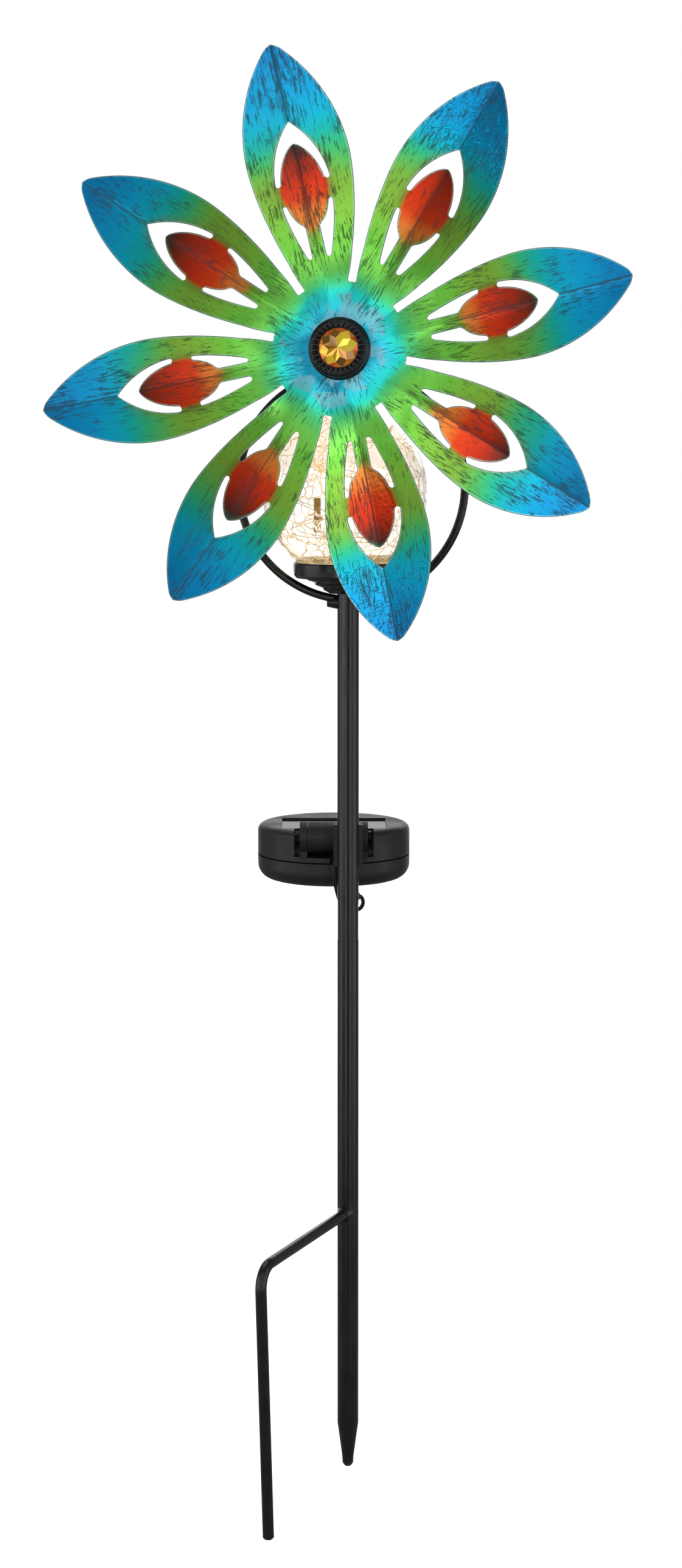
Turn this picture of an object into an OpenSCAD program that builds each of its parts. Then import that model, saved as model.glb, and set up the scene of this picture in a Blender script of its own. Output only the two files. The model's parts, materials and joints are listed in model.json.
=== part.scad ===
// Solar wind spinner: an eight-petal wheel over a lit glass globe, on a two-part stake.
// Millimetres. +Z is up, the wheel faces -Y, and the origin is on the stake's axis at ground level.

/* [Stake] */
// Outer diameter of both tubes
tube_d = 14; // [13.5:0.1:14.5]
// Wall thickness of both tubes
tube_wall = 1; // [0.8:0.1:1.1]
// Height of the top end of the upper tube
tube_top = 410; // [360:1:460]
// Height of the push-fit joint between the two tubes
joint_z = 183; // [150:1:200]
// Depth of the stake's point below ground
point_depth = 175; // [140:1:220]
// Diameter of the rod that the side prong is bent from
prong_d = 7.2; // [6:0.1:8]
// How far the prong stands from the stake
prong_reach = 137; // [100:1:160]
// Depth of the prong's end below ground
prong_depth = 178; // [140:1:220]
// Turn of the prong from straight ahead
prong_turn = -16.8; // [-40:0.1:40]
// How far the prong's leg leans back towards the stake, in degrees
prong_toe_in = 3.4; // [0:0.1:5]

/* [Globe] */
// Outer radius of the glass globe
globe_r = 54; // [50:0.5:56]
// Thickness of the glass
globe_wall = 2.5; // [2:0.1:3]
// Outer radius of the globe's neck
neck_r = 30; // [28:0.5:30.4]
// How far off centre the globe sits in its cup
globe_shift = -3; // [-3:0.1:3]

/* [Ring and wheel] */
// Diameter of the ring's wire
wire_d = 5.2; // [4.5:0.1:6]
// Outer radius of the ring
ring_r = 75.5; // [74:0.5:80]
// How far off centre the ring is welded
ring_shift = 2; // [-2:0.5:2]
// Distance of the wheel's sheet from the stake's axis
hub_reach = 65; // [62:1:75]
// Upward tilt of the axle, in degrees
axle_tilt = 4.4; // [0:0.1:8]
// Radius of the circle through the petals' points
wheel_r = 183; // [178:1:190]
// Thickness of the wheel's sheet
sheet = 0.8; // [0.6:0.1:1]
// Forward rise of the petals' points over the hub
petal_rise = 30; // [20:1:36]
// Fold of each half of a petal away from its crease, in degrees
petal_fold = 13; // [6:1:16]
// Pitch of the petals, in degrees
petal_pitch = 5; // [0:1:9]
// Turn of the wheel at rest, in degrees
wheel_turn = 12.7; // [0:0.1:45]

/* [Solar head] */
// Radius of the round case
case_r = 51; // [50:0.5:52]
// Height of the case's underside
case_z = 215; // [213:1:217]
// Height of the lower shell
lower_h = 16.6; // [16:0.2:18]
// Height of the whole case
case_h = 37; // [36:0.5:38]
// Turn of the solar head about the stake, in degrees
head_turn = 6.5; // [-45:0.5:45]
// Travel of the power switch
switch_travel = 4; // [3:0.5:4]

/* [Hidden] */
$fn = 96;
eps = 0.01;

tube_r = tube_d / 2;
bore_r = tube_r - tube_wall;
spigot_r = bore_r - 0.05;
spigot_l = 30;
prong_r = prong_d / 2;
bend_r = 13.6;
overlap = 0.3;
wire_r = wire_d / 2;
ring_mid_r = ring_r - wire_r;
ring_z = tube_top - 4.3 + ring_mid_r;
cup_h = 20;
cup_top = tube_top + cup_h;
globe_z = cup_top + sqrt(globe_r * globe_r - neck_r * neck_r);
neck_l = 7;
axle_r = 5;
spindle_r = 3;
axle_z = ring_z + ring_r + axle_r - 0.15;
hub_z = axle_z + hub_reach * tan(axle_tilt);
axle_len = hub_reach / cos(axle_tilt);

// Solar head: the case's centre and its hinge, in the head's own turned frame.
case_x = -9.5;
case_y = 62;
hinge_y = 20;
hinge_z = case_z + 33;
barrel_x0 = -26.5;
barrel_x1 = 7.9;
barrel_r = 10.4;
ear_t = 4.9;
ear_gap = 0.3;
case_wall = 2.4;
scoop_r = 12.8;
split_z = case_z + lower_h;
hole_z = joint_z + 28.5;
hole_turn = -45;
lead_r = 1.3;

BLACK = "#1c1c1e";
STEEL = "#8f9194";
BRASS = "#b08d4f";

// ---------- helpers ----------

// Places children on the axle: +Z points forward along it, and the origin is at the wheel's sheet.
module on_axle()
    translate([ring_shift, -hub_reach, hub_z]) rotate([90 - axle_tilt, 0, 0]) children();

// Places children in the solar head's frame, turned about the stake.
module in_head() rotate([0, 0, head_turn]) children();

// Places children on the lead's hole: +Z points out of the stake.
module at_hole() in_head()
    rotate([0, 0, hole_turn]) translate([0, 0, hole_z]) rotate([-90, 0, 0]) children();

module tube(r, hole_r, h)
    difference() {
        cylinder(r = r, h = h);
        translate([0, 0, -1]) cylinder(r = hole_r, h = h + 2);
    }

// A cylinder of length l along +X.
module rod_x(r, l) rotate([0, 90, 0]) cylinder(r = r, h = l);

// ---------- stake ----------

module upper_tube() color(BLACK)
    difference() {
        rotate_extrude() polygon([
            [spigot_r - 1, joint_z - spigot_l], [spigot_r, joint_z - spigot_l],
            [spigot_r, joint_z], [tube_r - 0.2, joint_z], [tube_r - 0.2, joint_z + 22],
            [tube_r, joint_z + 31], [tube_r, tube_top], [bore_r, tube_top],
            [bore_r, joint_z + 12], [spigot_r - 1, joint_z + 4]]);
        at_hole() cylinder(r = 2.4, h = tube_d);
    }

module lower_tube() color(BLACK)
    rotate_extrude() polygon([
        [bore_r, joint_z], [tube_r, joint_z], [tube_r, 30 - point_depth],
        [3.9, 7 - point_depth], [3.6, 2 - point_depth], [2.2, -point_depth], [0, -point_depth],
        [0, 12 - point_depth], [2, 14 - point_depth], [bore_r, 31 - point_depth]]);

module side_prong() color(BLACK) rotate([0, 0, prong_turn]) {
    bend_y = bend_r - prong_reach;
    leg_l = (prong_depth - bend_r * (1 + sin(prong_toe_in))) / cos(prong_toe_in);
    difference() {
        translate([0, bend_y - overlap, 0]) rotate([-90, 0, 0])
            cylinder(r = prong_r, h = overlap - bend_y - tube_r + 2);
        translate([0, 0, -prong_d]) cylinder(r = tube_r, h = 2 * prong_d);
    }
    translate([0, bend_y, -bend_r]) {
        rotate([0, 0, 180]) rotate([0, -90, 0])
            rotate_extrude(angle = 90 + prong_toe_in) translate([bend_r, 0]) circle(r = prong_r - 0.02);
        rotate([prong_toe_in, 0, 0]) translate([0, -bend_r, -leg_l]) rotate_extrude() polygon([
            [0, 0], [prong_r - 1, 0], [prong_r, 1], [prong_r, leg_l + overlap], [0, leg_l + overlap]]);
    }
}

module prong_weld() color(BLACK)
    difference() {
        rotate([0, 0, prong_turn]) translate([0, -tube_r - 2.6, 0]) rotate([-90, 0, 0])
            cylinder(r1 = prong_r + 0.3, r2 = prong_r + 2.2, h = 4.6);
        translate([0, 0, -8]) cylinder(r = tube_r, h = 16);
        rotate([0, 0, prong_turn]) translate([0, -20, 0]) rotate([-90, 0, 0])
            cylinder(r = prong_r, h = 20);
    }

// ---------- ring, cup and globe ----------

module ring_wire(r) translate([ring_shift, 0, ring_z]) rotate([90, 0, 0])
    rotate_extrude() translate([ring_mid_r, 0]) circle(r = r);

module ring_frame() color(BLACK)
    difference() {
        ring_wire(wire_r);
        translate([0, 0, tube_top - 20]) cylinder(r = tube_r, h = 19.9);
        translate([0, 0, tube_top - 0.1]) cylinder(r = 13, h = 20);
    }

module ring_welds() color(BLACK)
    difference() {
        for (side = [-1, 1]) translate([side * (tube_r - 1.5), 0, tube_top - 6])
            rotate([0, side * 90, 0]) cylinder(r1 = 4.6, r2 = 2.9, h = 8);
        translate([0, 0, tube_top - 20]) cylinder(r = tube_r, h = 30);
        translate([0, 0, tube_top]) translate([-30, -30, -0.05]) cube([60, 60, 20]);
        ring_wire(wire_r);
    }

module tube_plug() color(STEEL)
    translate([0, 0, tube_top - 16]) tube(bore_r - 0.02, 4.5, 16);

module cup_nipple() color(BRASS)
    translate([0, 0, tube_top - 14]) tube(4.5, 2.8, 24);

// Outline of the cup as steps of [radius, height above the tube's end].
CUP_STEPS = [[12, 0], [16, 2.2], [16.5, 3.4], [21.3, 5.4], [21.8, 6.8], [26.5, 8.6],
             [27, 10], [33.4, 10], [35, 11.8], [35.4, 15], [35.2, 19], [34.6, cup_h]];
CUP_INSIDE = [[33.6, cup_h], [33.4, 11.6], [24.5, 11.6], [20, 8.2], [14.8, 5.6], [11, 4],
              [4.55, 4], [4.55, 0]];

module globe_cup() color(BLACK)
    translate([0, 0, tube_top]) rotate_extrude() polygon(concat(CUP_STEPS, CUP_INSIDE));

module cup_nut() color(BRASS)
    translate([0, 0, tube_top + 4]) difference() {
        cylinder(r = 7.5, h = 4, $fn = 6);
        translate([0, 0, -1]) cylinder(r = 4.5, h = 6);
    }

module cup_seal() color("#d8d8d4")
    translate([globe_shift, 0, tube_top + 11.6]) tube(neck_r, 25.5, cup_h - neck_l - 11.6);

module glass_globe() color("#fff2c8", 0.4)
    translate([globe_shift, 0, globe_z]) {
        low = cup_top - globe_z;
        difference() {
            union() {
                difference() {
                    sphere(r = globe_r);
                    translate([0, 0, low - 30]) cylinder(r = globe_r, h = 30);
                }
                translate([0, 0, low - neck_l]) cylinder(r = neck_r, h = neck_l + 3);
            }
            sphere(r = globe_r - globe_wall);
            translate([0, 0, low - neck_l - 1]) cylinder(r = neck_r - globe_wall, h = neck_l + 8);
        }
    }

// ---------- light string and leads ----------

function unit(v) = v / norm(v);
function travel(path, i) =
    unit(path[min(i + 1, len(path) - 1)] - path[max(i - 1, 0)]);
function side_of(d) = unit(cross(d, abs(d[1]) < 0.9 ? [0, 1, 0] : [1, 0, 0]));
// Sideways directions carried along the path without twisting.
function sides_along(path, i, u) =
    i == len(path) ? []
    : let (d = travel(path, i), w = unit(u - (u * d) * d)) concat([w], sides_along(path, i + 1, w));

// A closed bent tube: a ring of points at each point of the path, and a cap at each end.
module bent_tube(path, r, sides) {
    n = len(path);
    across = sides_along(path, 0, side_of(travel(path, 0)));
    pts = [for (i = [0:n - 1]) let (u = across[i], v = cross(travel(path, i), u))
           for (k = [0:sides - 1]) path[i] + r * (cos(360 * k / sides) * u + sin(360 * k / sides) * v)];
    walls = [for (i = [0:n - 2]) for (k = [0:sides - 1]) let (m = (k + 1) % sides)
             [i * sides + k, (i + 1) * sides + k, (i + 1) * sides + m, i * sides + m]];
    caps = [[for (k = [0:sides - 1]) k], [for (k = [sides - 1:-1:0]) (n - 1) * sides + k]];
    polyhedron(points = pts, faces = concat(walls, caps));
}

// The string winds round inside the globe, first up the wall and then back down nearer the middle.
string_turns = 4;
string_rings = 84;
function string_point(t) =
    let (lat = -52 + 104 * (1 - cos(360 * t)) / 2, lon = 360 * string_turns * t,
         reach = (0.80 - 0.16 * t + 0.05 * sin(900 * t)) * globe_r)
    [reach * cos(lat) * cos(lon), reach * cos(lat) * sin(lon), reach * sin(lat)];
STRING = [for (i = [0:string_rings]) string_point(i / string_rings)];

module in_globe() translate([globe_shift, 0, globe_z]) children();

module led_wire() color("#b87333") in_globe() bent_tube(STRING, 0.45, 5);

module led_beads() color("#ffe2a0") in_globe()
    for (i = [4:8:string_rings - 4])
        translate(STRING[i] + 1.75 * side_of(travel(STRING, i))) sphere(r = 1.25, $fn = 24);

module led_sleeve() color("#e8e0c8", 0.6) in_globe()
    translate([-17, 0, -26]) tube(2.3, 1.6, 22);

module inner_lead() color(BLACK)
    translate([0, 0, hole_z - 3]) cylinder(r = lead_r, h = tube_top + 14 - hole_z);

module pole_grommet() color(BLACK) at_hole()
    difference() {
        union() {
            translate([0, 0, bore_r - 0.6]) cylinder(r = 2.35, h = 2.4);
            difference() {
                translate([0, 0, tube_r - 1]) cylinder(r = 3.4, h = 2);
                rotate([90, 0, 0]) translate([0, 0, -6]) cylinder(r = tube_r + 0.03, h = 12);
            }
        }
        cylinder(r = lead_r + 0.06, h = 20);
    }

// ---------- axle and hub ----------

axle_front = -20;

module axle_tube() color(BLACK) on_axle()
    translate([0, 0, -axle_len - 12]) tube(axle_r, spindle_r, axle_len + 12 + axle_front);

module axle_weld() color(BLACK)
    difference() {
        on_axle() translate([0, 0, -axle_len - 6]) cylinder(r1 = 5.6, r2 = 5.6, h = 12);
        on_axle() translate([0, 0, -axle_len - 20]) cylinder(r = axle_r, h = 40);
        translate([ring_shift - 20, -20, ring_z + ring_r + 3.2]) cube([40, 40, 20]);
        ring_wire(wire_r);
    }

module spindle() color(STEEL) on_axle() {
    translate([0, 0, -axle_len - 17]) cylinder(r = 5.6, h = 5, $fn = 6);
    translate([0, 0, -axle_len - 12]) cylinder(r = spindle_r, h = axle_len + 12 + 5.2);
}

module spacer_washer() color(STEEL) on_axle()
    translate([0, 0, axle_front]) tube(6, spindle_r, 1.5);

module front_washer() color(STEEL) on_axle() translate([0, 0, 1.3]) tube(6, spindle_r, 0.7);

module lock_nut() color(STEEL) on_axle() translate([0, 0, 2])
    difference() {
        cylinder(r = 5.6, h = 3.1, $fn = 6);
        translate([0, 0, -1]) cylinder(r = spindle_r, h = 6);
    }

bush_bore = spindle_r + 0.06;

module hub_bush() color(BRASS) on_axle() {
    translate([0, 0, axle_front + 1.6]) tube(4.8, bush_bore, 1.2 - axle_front - 1.6);
    translate([0, 0, -3]) tube(8, bush_bore, 1);
}

module hub_plate() color(BLACK) on_axle() translate([0, 0, -2]) tube(20, 4.85, 1.95);

module hub_cap() color(BLACK) on_axle()
    rotate_extrude() polygon([
        [19.2, 0.85], [19.2, 2.2], [18.4, 3], [17.9, 7.4], [17.3, 7.8],
        [17.3, 6.2], [6.8, 6.2], [6.8, 5.4], [16.2, 5.4], [16.2, 0.85]]);

// A serrated collar: round teeth on its front face.
bezel_teeth = 28;
module bezel_ring() color(BLACK) on_axle()
    difference() {
        translate([0, 0, 6.25]) tube(17.2, 12.4, 2.6);
        for (i = [0:bezel_teeth - 1]) rotate([0, 0, 360 * i / bezel_teeth])
            translate([11, 0, 9.35]) rotate([0, 86, 0]) cylinder(r = 0.85, h = 8, $fn = 24);
    }

// A cut stone: a round girdle, a crown of kites and a small table.
module jewel() color("#ffb020") on_axle() translate([0, 0, 6.25]) {
    girdle = [for (i = [0:15]) [12.2 * cos(22.5 * i), 12.2 * sin(22.5 * i), 1.6]];
    base = [for (p = girdle) [p[0], p[1], 0]];
    crown = [for (i = [0:7]) [8 * cos(45 * i + 11.25), 8 * sin(45 * i + 11.25), 3.9]];
    table = [[0, 0, 5]];
    upper = [for (i = [0:7]) each [
        [32 + i, 16 + (2 * i + 1) % 16, 16 + 2 * i],
        [32 + i, 16 + (2 * i + 2) % 16, 16 + (2 * i + 1) % 16],
        [32 + i, 32 + (i + 1) % 8, 16 + (2 * i + 2) % 16],
        [40, 32 + (i + 1) % 8, 32 + i]]];
    wall = [for (i = [0:15]) [16 + i, 16 + (i + 1) % 16, (i + 1) % 16, i]];
    floor_face = [[for (i = [0:15]) i]];
    polyhedron(points = concat(base, girdle, crown, table),
               faces = concat(floor_face, wall, upper));
}

// ---------- wheel ----------

// Distances along a petal at which its outline and its cut-outs change.
slot_start = 38.5;
lower_cut_start = 56.6;
lower_cut_end = 90.6;
arch_cut_start = 102.3;
bud_tip = 124.5;
arch_tip = 138;
wide_at = 117;
wide_half = 31.8;
slot_half = 2.6;
tip_arc_r = 88.6;

// Half width of the petal at distance r from the hub's centre.
function petal_half(r) =
    r < 50 ? (r * sin(22.5) - slot_half) / cos(22.5)
    : r < wide_at ? wide_half - 0.0115 * pow(wide_at - r, 1.7)
    : sqrt(tip_arc_r * tip_arc_r - pow(r - wide_at, 2)) - tip_arc_r + wide_half;

// Half width of the bud and its stem, the solid part in the middle of the petal.
function bud_half(r) =
    r < lower_cut_end ? max(4.4, 13.8 * sqrt(max(0, 1 - pow((98 - r) / 23, 2))))
    : r < bud_tip ? max(1.4, 13.8 * sqrt(max(0, 1 - pow((r - 98) / 26.7, 2))))
    : r < arch_tip ? 1
    : 0.35 * petal_half(r);

// Half width of the outer edge of the cut-outs.
function cut_half(r) =
    r < lower_cut_start ? 7.4
    : r < lower_cut_end ? 15.6 - 0.0624 * pow(max(0, 90 - r), 1.4)
    : r < arch_cut_start ? 16.9
    : r <= arch_tip ? max(1.9, sqrt(49 * 49 - pow(r - 101, 2)) - 32.1)
    : 0.7 * petal_half(r);

// Rise of the petal over the hub: a smooth bend from the flat hub out to the point.
function bend(r) = let (t = max(0, r - 34) / (wheel_r - 34)) petal_rise * pow(t, 1.25);
// How much of the fold and pitch has grown at distance r.
function grown(r) = let (t = min(1, max(0, (r - 34) / 30))) t * t * (3 - 2 * t);
function lift(r, v) = bend(r) - abs(v) * tan(petal_fold) * grown(r) + v * tan(petal_pitch) * grown(r);

// Rows of points along a petal, and which of its cells are open in each row of cells.
ROW_R = [slot_start, 47, lower_cut_start, 66, 76, 83, lower_cut_end, arch_cut_start, 111, 118,
         bud_tip, 131, arch_tip, 148, 160, 170, 178, wheel_r];
function open_cells(r) =
    r >= lower_cut_start && r < lower_cut_end ? [1, 4]
    : r >= arch_cut_start && r < bud_tip ? [1, 4]
    : r >= bud_tip && r < arch_tip ? [1, 2, 3, 4]
    : [];
function stations(r) = let (w = petal_half(r), b = bud_half(r), c = cut_half(r)) [-w, -c, -b, 0, b, c, w];

HUB_R = [4.85, 14, 24, 32];
COLS = 7;
PER_ROW = 8 * COLS;
hub_rows = len(HUB_R);
rows = hub_rows + len(ROW_R);

// The point in row i at station j of petal p: hub rows are circles, petal rows are straight.
function flat_point(i, j) =
    i < hub_rows
        ? let (a = atan2(stations(slot_start)[j], slot_start)) [HUB_R[i] * cos(a), HUB_R[i] * sin(a)]
        : let (r = ROW_R[i - hub_rows]) [r, stations(r)[j]];
function wheel_point(i, p, j, h) =
    let (q = flat_point(i, j), a = 45 * p)
    [q[0] * cos(a) - q[1] * sin(a), q[0] * sin(a) + q[1] * cos(a),
     h + (i < hub_rows ? 0 : lift(ROW_R[i - hub_rows], q[1]))];
function filled(i, j) =
    i < 0 || i >= rows - 1 ? false
    : i < hub_rows ? true
    : j == COLS - 1 ? false
    : len([for (k = open_cells(ROW_R[i - hub_rows])) if (k == j) k]) == 0;
function back(i, c) = (i * PER_ROW + c % PER_ROW) * 2;
function front(i, c) = back(i, c) + 1;

module petal_wheel() color("#23a7c4") on_axle() rotate([0, 0, wheel_turn]) {
    pts = [for (i = [0:rows - 1]) for (p = [0:7]) for (j = [0:COLS - 1]) for (h = [0, sheet])
           wheel_point(i, p, j, h)];
    faces = [for (i = [0:rows - 2]) for (c = [0:PER_ROW - 1]) let (j = c % COLS, d = c + 1)
        if (filled(i, j)) each concat(
            [[front(i, c), front(i, d), front(i + 1, d)], [front(i, c), front(i + 1, d), front(i + 1, c)],
             [back(i, c), back(i + 1, d), back(i, d)], [back(i, c), back(i + 1, c), back(i + 1, d)]],
            filled(i - 1, j) ? [] : [[back(i, c), back(i, d), front(i, d)],
                                     [back(i, c), front(i, d), front(i, c)]],
            filled(i + 1, j) ? [] : [[back(i + 1, d), back(i + 1, c), front(i + 1, c)],
                                     [back(i + 1, d), front(i + 1, c), front(i + 1, d)]],
            filled(i, (j + COLS - 1) % COLS) ? [] : [[back(i + 1, c), back(i, c), front(i, c)],
                                                     [back(i + 1, c), front(i, c), front(i + 1, c)]],
            filled(i, (j + 1) % COLS) ? [] : [[back(i, d), back(i + 1, d), front(i + 1, d)],
                                              [back(i, d), front(i + 1, d), front(i, d)]])];
    polyhedron(points = pts, faces = faces);
}

// ---------- solar head ----------

// A barrel along the hinge axis, from x0 to x1.
module on_hinge(x0) translate([x0, hinge_y, hinge_z]) rotate([0, 90, 0]) children();

module pole_clip() color(BLACK) in_head() {
    difference() {
        union() {
            difference() {
                translate([0, 0, split_z + 0.4]) cylinder(r = tube_r + 2.6, h = 27.5);
                translate([-20, -30, split_z - 1]) cube([40, 28, 40]);
            }
            translate([-7, 4, hinge_z - 9]) cube([13, hinge_y - 4, 17]);
            on_hinge(barrel_x0) cylinder(r = barrel_r, h = barrel_x1 - barrel_x0);
        }
        translate([0, 0, split_z - 1]) cylinder(r = tube_r, h = 40);
        on_hinge(barrel_x0 - 1) cylinder(r = 2.56, h = barrel_x1 - barrel_x0 + 2);
        translate([barrel_x0 - 1, hinge_y - barrel_r - 1, hinge_z - 0.2])
            cube([barrel_x1 - barrel_x0 + 2, 1.4, 0.4]);
    }
}

module hinge_bolt() color(STEEL) in_head() {
    on_hinge(barrel_x0 - ear_gap - ear_t - 3.4)
        cylinder(r = 2.5, h = barrel_x1 - barrel_x0 + 2 * (ear_gap + ear_t) + 3.4);
    on_hinge(barrel_x1 + ear_gap + ear_t) cylinder(r = 4.2, h = 2.4);
}

module hinge_nut() color(STEEL) in_head() on_hinge(barrel_x0 - ear_gap - ear_t - 3) difference() {
    cylinder(r = 4.6, h = 3, $fn = 6);
    translate([0, 0, -1]) cylinder(r = 2.5, h = 5);
}

// Half of the case's section: a disc of radius r and height h with its lower outer edge rounded by f.
module case_section(r, h, f) intersection() {
    square([r, h]);
    union() {
        square([r - f, h]);
        translate([0, f]) square([r, h]);
        translate([r - f, f]) circle(r = f);
    }
}

module at_case(z) translate([case_x, case_y, z]) children();

upper_h = case_h - lower_h;
cell_w = 70;
cell_d = 48;
cell_y = 57.5;
boss_r = 3.4;
screw_at = [for (a = [35, 145, 215, 325]) [case_x + 43 * cos(a), case_y + 43 * sin(a)]];

module upper_solid(r, h, f) rotate_extrude() translate([0, h]) mirror([0, 1]) case_section(r, h, f);

module scoop(grow) {
    on_hinge(barrel_x0 - 9 - grow) cylinder(r = scoop_r + grow, h = barrel_x1 - barrel_x0 + 18 + 2 * grow);
    translate([barrel_x0 - 9 - grow, -5, hinge_z - scoop_r - grow])
        cube([barrel_x1 - barrel_x0 + 18 + 2 * grow, hinge_y + 5, 60]);
}

module ears() for (x0 = [barrel_x0 - ear_gap - ear_t, barrel_x1 + ear_gap]) {
    on_hinge(x0) cylinder(r = barrel_r, h = ear_t);
    translate([x0, hinge_y - 6, hinge_z - 14]) cube([ear_t, 14, 12]);
}

module top_shell() color(BLACK) in_head() difference() {
    union() {
        difference() {
            at_case(split_z) upper_solid(case_r, upper_h, 5);
            difference() {
                at_case(split_z - eps) upper_solid(case_r - case_wall, upper_h - case_wall - 2.4, 3);
                scoop(2);
                for (p = screw_at) translate([p[0], p[1], split_z - 1]) cylinder(r = boss_r, h = 40);
            }
            scoop(0);
        }
        ears();
    }
    translate([case_x - cell_w / 2, cell_y - cell_d / 2, case_z + case_h - 2.6])
        cube([cell_w, cell_d, 5]);
    translate([case_x, 0, split_z + 2.4]) rotate([-90, 0, 0]) cylinder(r = 2.4, h = 20);
    translate([case_x - 2.4, 0, split_z - 1]) cube([4.8, 20, 3.4]);
    on_hinge(barrel_x0 - ear_gap - ear_t - 1)
        cylinder(r = 2.5, h = barrel_x1 - barrel_x0 + 2 * (ear_gap + ear_t) + 2);
    for (p = screw_at) translate([p[0], p[1], split_z - 1]) cylinder(r = 1.2, h = 12);
}

door_w = 60;
door_d = 20;
door_y = case_y + 4;
door_screw_x = case_x + 27.2;
switch_y = case_y - 22;

module bottom_shell() color(BLACK) in_head() {
    shell_floor();
    // The tab over the door's edge that the door's screw goes into.
    translate([door_screw_x, door_y, case_z + case_wall - 0.05]) difference() {
        translate([-2.4, -4, 0]) cube([7.2, 8, 2]);
        translate([0, 0, -1]) cylinder(r = 1.3, h = 4);
    }
}

module shell_floor() difference() {
    at_case(case_z) difference() {
        rotate_extrude() case_section(case_r, lower_h, 10);
        difference() {
            translate([0, 0, case_wall]) rotate_extrude() case_section(case_r - case_wall, lower_h, 8);
            for (p = screw_at) translate([p[0] - case_x, p[1] - case_y, 0])
                cylinder(r = boss_r, h = lower_h);
        }
        translate([0, 0, lower_h - 1]) rotate_extrude() translate([case_r - 1.8, 0]) square([1, 2]);
    }
    translate([case_x - door_w / 2, door_y - door_d / 2, case_z - 1]) cube([door_w, door_d, 6]);
    translate([case_x - 4.5, switch_y - 2.2, case_z - 1]) cube([9, 4.4, 6]);
    for (p = screw_at) translate([p[0], p[1], case_z - 1]) {
        cylinder(r = 1.6, h = 40);
        cylinder(r = 3, h = 4);
    }
}

module shell_seal() color("#2b2b2b") in_head()
    at_case(split_z - 0.95) tube(case_r - 0.85, case_r - 1.75, 0.9);

module solar_cell() color("#9a9690") in_head()
    translate([case_x - cell_w / 2 + 0.3, cell_y - cell_d / 2 + 0.3, case_z + case_h - 2.6])
        cube([cell_w - 0.6, cell_d - 0.6, 0.6]);

module cell_window() color("#d8d8d8", 0.5) in_head()
    translate([case_x - cell_w / 2 + 0.2, cell_y - cell_d / 2 + 0.2, case_z + case_h - 2])
        cube([cell_w - 0.4, cell_d - 0.4, 0.8]);

module circuit_board() color("#2f6b3a") in_head()
    translate([case_x - 22, case_y - 2, split_z + 6]) cube([44, 26, 1.6]);

battery_r = 7.1;
battery_l = 49;
battery_z = case_z + case_wall + battery_r + 0.1;

module battery() color("#3f8f4f") in_head() translate([case_x - battery_l / 2, door_y, battery_z]) {
    rod_x(battery_r, battery_l);
    translate([battery_l, 0, 0]) rod_x(2.7, 1);
}

module battery_contacts() color(STEEL) in_head()
    for (x0 = [-battery_l / 2 - 0.7, battery_l / 2 + 1.05])
        translate([case_x + x0, door_y - 5, battery_z - 5]) cube([0.6, 10, 11]);

module battery_door() color(BLACK) in_head() difference() {
    translate([case_x - door_w / 2 + 0.2, door_y - door_d / 2 + 0.2, case_z])
        cube([door_w - 0.4, door_d - 0.4, case_wall - 0.1]);
    translate([door_screw_x, door_y, case_z - 1]) cylinder(r = 1.3, h = 6);
}

module door_screw() color(STEEL) in_head() translate([door_screw_x, door_y, case_z - 0.9]) {
    cylinder(r = 2.4, h = 0.9);
    cylinder(r = 1.3, h = 5);
}

module case_screws() color(STEEL) in_head() for (p = screw_at) translate([p[0], p[1], case_z + 1.1]) {
    cylinder(r = 2.8, h = 1.9);
    cylinder(r = 1.2, h = 24);
}

module switch_slider() color("#3a3a3c") in_head()
    translate([case_x - switch_travel / 2, switch_y, case_z]) {
        translate([-2.1, -2, -1.2]) cube([4.2, 4, 4.6]);
        translate([-4, -3.6, case_wall + 0.3]) cube([8, 7.2, 1.2]);
    }

// ---------- lead from the solar head to the stake ----------

// Points of the lead in the head's frame, from inside the case to the hole behind the stake.
LEAD = [[-9.5, 16, 233.6], [-9.5, 13.6, 233.6], [-9.5, 11.2, 233.6], [-9.5, 8.6, 232.9], [-9.5, 6.7, 231],
        [-9.4, 6, 228.3], [-9.1, 6.2, 224.5], [-8.6, 6.9, 220.5], [-7.9, 7.8, 216.5], [-7, 8.7, 212.5],
        [-5.9, 9.5, 208.7], [-4.1, 10.1, 205.2], [-1.4, 10.5, 202.4], [1.6, 10.7, 201], [4.6, 10.8, 200.9],
        [7.2, 10.7, 201.6], [9.1, 10.4, 203.5], [9.9, 9.9, 206.1], [9.4, 9.4, 208.8], [8, 8, 210.8],
        [6.2, 6.2, 211.5], [4.5, 4.5, 211.5]];

module solar_lead() color(BLACK) in_head() bent_tube(LEAD, lead_r, 8);

upper_tube();
lower_tube();
side_prong();
prong_weld();
ring_frame();
ring_welds();
tube_plug();
cup_nipple();
globe_cup();
cup_nut();
cup_seal();
glass_globe();
led_wire();
led_beads();
led_sleeve();
inner_lead();
pole_grommet();
axle_tube();
axle_weld();
spindle();
spacer_washer();
front_washer();
lock_nut();
hub_bush();
petal_wheel();
hub_plate();
hub_cap();
bezel_ring();
jewel();
pole_clip();
hinge_bolt();
hinge_nut();
top_shell();
bottom_shell();
shell_seal();
solar_cell();
cell_window();
circuit_board();
battery();
battery_contacts();
battery_door();
door_screw();
case_screws();
switch_slider();
solar_lead();
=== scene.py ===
# %% [markdown]
# # A solar wind spinner
# A garden stake carries a wheel of eight painted steel petals, a lit glass globe and a round solar
# head. The frame below is the engineered model: every tube, shell, bolt and bush is already there, in
# metres, with +Z up and the ground at zero. This lesson gives those parts their finishes, and builds
# the pieces whose look needs more than a plain solid: the petals, the stone, the lights and the lead.

# %% Load the frame
import json
import math

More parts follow.
